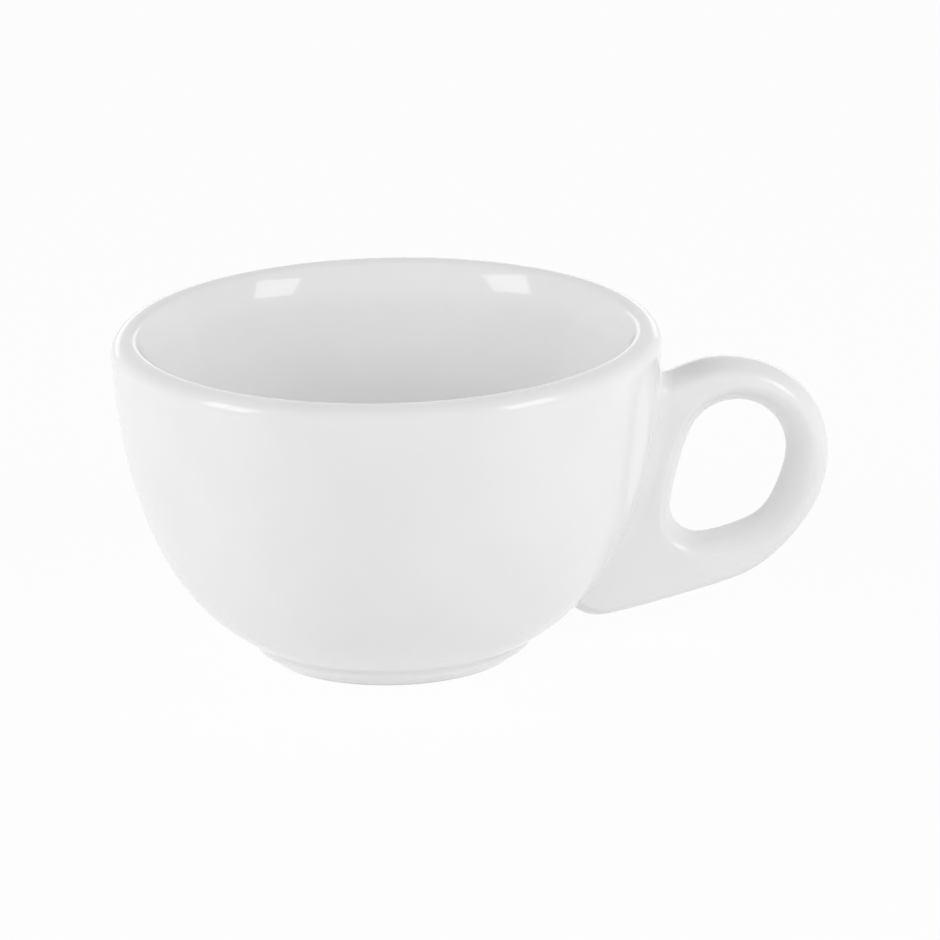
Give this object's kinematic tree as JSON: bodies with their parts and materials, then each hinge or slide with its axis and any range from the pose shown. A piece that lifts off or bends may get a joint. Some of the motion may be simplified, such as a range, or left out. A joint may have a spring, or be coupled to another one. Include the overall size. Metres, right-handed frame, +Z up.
{
  "type": "cappuccino cup",
  "caption": "Plain white ceramic cappuccino cup: a round-bellied bowl on a low foot ring, with a pierced loop handle that takes a finger.",
  "frame": {"origin": "on the axis of the bowl, in the plane of the foot ring that stands on the table", "axes": "+Z up along the axis of the bowl, +X from the axis towards the handle, Y across the handle"},
  "size_m": [0.1368, 0.105, 0.0636],
  "materials": {
    "body_glaze": "white gloss glaze over white clay, bare on the standing ring",
    "handle_glaze": "white gloss glaze over white clay",
    "slip_glaze": "white gloss glaze over the slip that joins the handle to the bowl"
  },
  "bodies": {
    "root": {"cup_body": "body_glaze", "handle": "handle_glaze", "handle_slip": "slip_glaze"}
  },
  "joints": []
}
